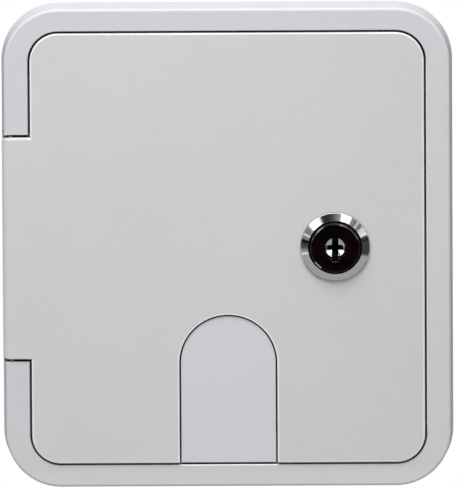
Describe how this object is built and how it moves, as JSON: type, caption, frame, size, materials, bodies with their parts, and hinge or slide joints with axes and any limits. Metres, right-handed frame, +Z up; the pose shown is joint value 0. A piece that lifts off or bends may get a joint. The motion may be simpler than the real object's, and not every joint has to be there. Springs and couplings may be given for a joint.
{
  "type": "power cord hatch",
  "caption": "Lockable wall hatch for a caravan power cord: sleeved frame, side-hinged door with a key cam lock, and a small arched flap that lets the cord out at the bottom.",
  "frame": {"origin": "centre of the wall cut-out, on the outer surface of the wall", "axes": "+X to the right seen from outside, +Y into the wall, +Z up"},
  "size_m": [0.165, 0.0447, 0.1802],
  "materials": {
    "frame_plastic": "satin moulded plastic, faintly bluish grey-white",
    "door_plastic": "satin moulded plastic, neutral grey-white",
    "chrome": "bright chrome with fine turning marks",
    "black_plastic": "gloss black",
    "plug_metal": "bright nickel",
    "steel": "stainless steel",
    "zinc_plate": "zinc plated",
    "brass": "bare brass",
    "rubber": "matt black rubber",
    "foam": "closed-cell foam"
  },
  "bodies": {
    "frame": {"frame": "frame_plastic", "flange_gasket": "foam", "door_seal": "rubber", "hinge_pin_upper": "steel", "hinge_pin_lower": "steel", "flap_pin": "steel", "flap_pin_retainer": "steel", "flap_spring": "steel", "mounting_screw_1": "zinc_plate", "mounting_screw_2": "zinc_plate", "mounting_screw_3": "zinc_plate", "mounting_screw_4": "zinc_plate"},
    "door": {"door": "door_plastic", "lock_body": "chrome", "lock_face": "black_plastic", "lock_seal": "rubber", "lock_washer": "steel", "lock_nut": "zinc_plate"},
    "flap": {"flap": "frame_plastic", "flap_seal": "rubber"},
    "plug": {"key_plug": "plug_metal", "tumbler_pin_1": "brass", "tumbler_pin_2": "brass", "tumbler_pin_3": "brass", "tumbler_pin_4": "brass", "cam": "zinc_plate", "cam_washer": "steel", "cam_screw": "steel"}
  },
  "joints": [
    {"name": "door_hinge", "type": "hinge", "parent": "frame", "child": "door", "pos_m": [-0.0793, -0.0076, 0], "axis": [0, 0, -1], "range_deg": [0, 175]},
    {"name": "flap_hinge", "type": "hinge", "parent": "frame", "child": "flap", "pos_m": [0, -0.006, -0.0756], "axis": [-1, 0, 0], "range_deg": [0, 68], "stiffness_Nm_per_rad": 0.008, "springref_deg": -28.65, "deforming": ["flap_spring"]},
    {"name": "key_turn", "type": "hinge", "parent": "door", "child": "plug", "pos_m": [0.0394, 0, 0.00067], "axis": [0, 1, 0], "range_deg": [0, 90]}
  ]
}
